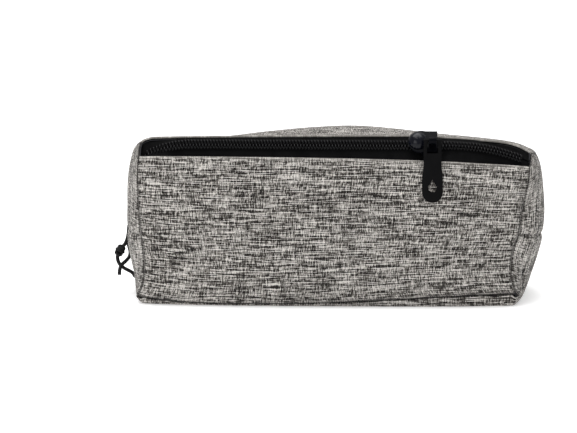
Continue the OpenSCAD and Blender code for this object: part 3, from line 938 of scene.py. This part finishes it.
def bevelled(node, name, width, segments, material):
    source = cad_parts[node]
    obj = bpy.data.objects.new(name, source.data.copy())
    bpy.context.scene.collection.objects.link(obj)
    select_only(obj)
    bpy.ops.object.mode_set(mode="EDIT")
    bpy.ops.mesh.select_all(action="SELECT")
    bpy.ops.mesh.remove_doubles(threshold=0.00001)
    bpy.ops.mesh.dissolve_limited(angle_limit=math.radians(0.5))
    bpy.ops.object.mode_set(mode="OBJECT")
    bevel = obj.modifiers.new("edges", "BEVEL")
    bevel.width = width
    bevel.segments = segments
    bevel.limit_method = "ANGLE"
    bevel.angle_limit = math.radians(32)
    bevel.use_clamp_overlap = True
    apply_all(obj)
    bpy.ops.object.shade_smooth_by_angle(angle=math.radians(38))
    obj.data.materials.clear()
    obj.data.materials.append(material)
    print(f"{name}: {len(obj.data.polygons)} faces")
    return obj


slider_cast = bevelled("slider_body", "slider_cast", 0.28 * MM, 3, CASTING)
slider_dome = bevelled("slider_crown", "slider_dome", 0.15 * MM, 2, PAINT)
puller_moulded = bevelled("puller", "puller_moulded", 0.4 * MM, 4, PULLER)

# %% [markdown]
# ## Lining
# The lining hangs just inside the cloth. It is the same patches, laid a little further in, so it
# never shows through, and it rides with the panel in front of it.

# %% Lining sheets
LINING_T = 0.3 * MM
IN = 1.5 * MM


def lined(name, base, outward, swell, cells, u_range=(0, 1)):
    inner = swollen(base, outward, swell, (0, 0, 0, 0), 31.0, IN, wrinkles=0)
    return sheet(name, inner, cells, outward, LINING_T, LINING, u_range=u_range)


front_in_swell = dome(FRONT_SWELL - 0.3, 0.4, 1.1)
back_in_swell = dome(BACK_SWELL - 0.4, 0.45, 0.8)
shoulder_in_swell = dome(SHOULDER_SWELL - 0.3, 0.3, 1.0)
linings = {}
for where, name, base, outward, swell, cells, u_range in (
    ("front_left", "front_lining_left", front_base, FRONTWARD, front_in_swell, (50, 36), (0, SPLIT_U)),
    ("front_right", "front_lining_right", front_base, FRONTWARD, front_in_swell, (80, 36), (SPLIT_U, 1)),
    ("top_left", "top_lining_left", top_base, UPWARD, top_swell, (50, 20), (0, SPLIT_TOP)),
    ("top_right", "top_lining_right", top_base, UPWARD, top_swell, (80, 20), (SPLIT_TOP, 1)),
    ("back", "back_lining", back_base, BACKWARD, back_in_swell, (110, 30), (0, 1)),
    ("shoulder", "shoulder_lining", shoulder_base, REAR_UPWARD, shoulder_in_swell, (110, 8), (0, 1)),
    ("bottom", "bottom_lining", bottom_base, DOWNWARD, dome(0), (110, 30), (0, 1)),
):
    linings[where] = lined(name, base, outward, swell, cells, u_range)
for side, outward, foot, top_edge, front_side, back_side in (
    ("left", (-1, 0, 0), left_foot, left_top, joined(left_front_low, left_front_high, LEFT_MID),
     joined(left_back_low, left_back_high, BACK_MID)),
    ("right", (1, 0, 0), right_foot, right_top, joined(right_front_low, right_front_high, LEFT_MID),
     joined(right_back_low, right_back_high, BACK_MID)),
):
    whole_end = patch(foot, top_edge, front_side, back_side)
    linings[side] = lined(f"{side}_end_lining", whole_end, outward, dome(2.6, 0.5, 0.5), (30, 40))

# %% [markdown]
# ## What moves with what
# The lips are part of the cloth. The halves along the lips are baked where they lie; the other pieces ride
# with the case, and the slider's and the puller's pieces with their own bodies.

# %% Ride
for left, right, lip in (
    (front_left, front_right, "front_lip"), (tapes["front_left"], tapes["front_right"], "front_lip"),
    (coils["front_left"], coils["front_right"], "front_lip"),
    (linings["front_left"], linings["front_right"], "front_lip"),
    (top_left, top_right, "top_lip"), (tapes["rear_left"], tapes["rear_right"], "top_lip"),
    (coils["rear_left"], coils["rear_right"], "top_lip"),
    (linings["top_left"], linings["top_right"], "top_lip"),
):
    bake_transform(left)
    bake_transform(right)

still_linings = [linings[where] for where in ("back", "shoulder", "bottom", "left", "right")]
for piece in (top_shoulder, back_panel, bottom_panel, *still_linings, *ends.values()):
    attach(piece, "case")
for cord in (cord_tail, cord_stub):
    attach(cord, "case")
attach(slider_cast, "slider")
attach(slider_dome, "slider")
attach(puller_moulded, "puller")

# %% [markdown]
# The two strands are held by a single overhand knot. A true knotted curve could be drawn, but three
# leaning turns of cord look the same at this size and keep the strands' paths simple.

# %% Knot
KNOT = on_seam((-3.3, -1.55, 20.9))
KNOT_LEAN = math.radians(28)
bpy.ops.object.select_all(action="DESELECT")
KNOT_AXIS = Vector((math.sin(KNOT_LEAN), 0, math.cos(KNOT_LEAN)))
TURNS = ((-1.45, 0.35, 1.25), (0, -0.3, 1.6), (1.45, 0.35, 1.25))
TURN_R = 0.88 * MM
wraps = []
for step, tilt, across in TURNS:
    spot = KNOT + KNOT_AXIS * step * MM
    bpy.ops.mesh.primitive_torus_add(major_radius=across * MM, minor_radius=TURN_R, major_segments=36,
                                     minor_segments=14, location=spot, rotation=(tilt, KNOT_LEAN, 0))
    wraps.append(bpy.context.object)
for wrap in wraps:
    wrap.select_set(True)
bpy.ops.object.join()
knot = bpy.context.object
knot.name = "cord_knot"
bpy.ops.object.transform_apply(location=True, rotation=True, scale=True)
bpy.ops.object.shade_smooth()
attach(knot, "case")
for piece in (knot, cord_tail, cord_stub):
    piece.data.materials.append(CORD)

# %% [markdown]
# Inside each end, the allowance of the middle seam is bound with a folded tape. It could be left as a
# plain strip, but a sheet along the seam's own line follows the curve of the end.

# %% Seam bindings
BINDING_FROM, BINDING_W, BINDING_T = 2.6 * MM, 6 * MM, 1.4 * MM
BINDING_START, BINDING_SHARE = 0.06, 0.88


def binding(name, seam, outward):
    """The bound allowance stands inward from the seam across an end."""
    inward = -np.array(outward, float)

    def at(u, v):
        edge = seam(BINDING_START + BINDING_SHARE * u)
        return edge + inward * (BINDING_FROM + v * BINDING_W)[:, None]

    return sheet(name, at, (60, 6), UPWARD, BINDING_T, BINDING, offset=0.0)


bindings = {
    "left": binding("left_binding", left_mid_seam, (-1, 0, 0)),
    "right": binding("right_binding", right_mid_seam, (1, 0, 0)),
}
for side, piece in bindings.items():
    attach(piece, "case")
    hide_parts(f"{side}_seam_binding")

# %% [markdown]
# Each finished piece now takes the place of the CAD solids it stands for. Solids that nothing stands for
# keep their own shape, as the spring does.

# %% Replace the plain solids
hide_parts("front_panel", "front_panel_lip")
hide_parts("top_panel", "top_panel_lip")
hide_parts("back_panel")
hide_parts("bottom_panel")
for name, piece in ends.items():
    side, level = name.split("_")
    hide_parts(f"{side}_end_{level}")
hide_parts("front_lip_lining")
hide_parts("top_lip_lining")
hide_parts("lining")
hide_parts("zip_tape_front", "zip_tape_front_lip")
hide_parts("zip_tape_rear", "zip_tape_rear_lip")
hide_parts("coil_front", "coil_front_lip")
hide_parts("coil_rear", "coil_rear_lip")
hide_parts("slider_body")
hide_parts("slider_crown")
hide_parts("puller")
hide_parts("hang_cord_tail")
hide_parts("hang_cord_stub")
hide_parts("hang_cord_knot")

# %% [markdown]
# The leaf spring sits inside the slider's crown and is carried over from the CAD as it is. It only
# needs the finish of bare steel.

# %% Finish of the spring
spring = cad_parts["slider_spring"]
spring.data.materials.clear()
spring.data.materials.append(STEEL)

# %% [markdown]
# ## Floor and light
# A pale floor that meets a white surround, and large soft lights, give an even light and leave only
# a faint shadow under the case.

# %% Studio
bpy.ops.object.select_all(action="DESELECT")
FLOOR_W, FLOOR_DROP = 6, 0.2 * MM
bpy.ops.mesh.primitive_plane_add(size=FLOOR_W, location=(0, 0, -FLOOR_DROP))
floor = bpy.context.object
floor.name = "floor"
floor_nodes = Nodes("pale_floor")
floor_nodes.set(Base_Color=(0.86, 0.86, 0.86, 1), Roughness=0.6)
floor_nodes.set(Emission_Color=(1, 1, 1, 1), Emission_Strength=0.42)
floor.data.materials.append(floor_nodes.material)
world = bpy.data.worlds.new("studio")
bpy.context.scene.world = world
world.use_nodes = True
background = world.node_tree.nodes["Background"]
background.inputs["Color"].default_value = (1, 1, 1, 1)
background.inputs["Strength"].default_value = 0.46
LIT_POINT = Vector((0, 0, 0.04))


def soft_light(name, location, size, power):
    data = bpy.data.lights.new(name, "AREA")
    data.size = size
    data.energy = power
    light = bpy.data.objects.new(name, data)
    light.location = location
    toward = LIT_POINT - Vector(location)
    light.rotation_euler = toward.to_track_quat("-Z", "Y").to_euler()
    bpy.context.scene.collection.objects.link(light)


soft_light("over", (-0.1, 0.15, 1.2), 1.1, 19)
soft_light("key", (-0.5, -0.9, 0.5), 0.6, 3.3)
soft_light("fill", (0.8, -0.9, 0.5), 0.9, 0.5)
bpy.context.scene.view_settings.view_transform = "Standard"

# %% [markdown]
# Last, the view layer is brought up to date.

# %% Finish
bpy.context.view_layer.update()
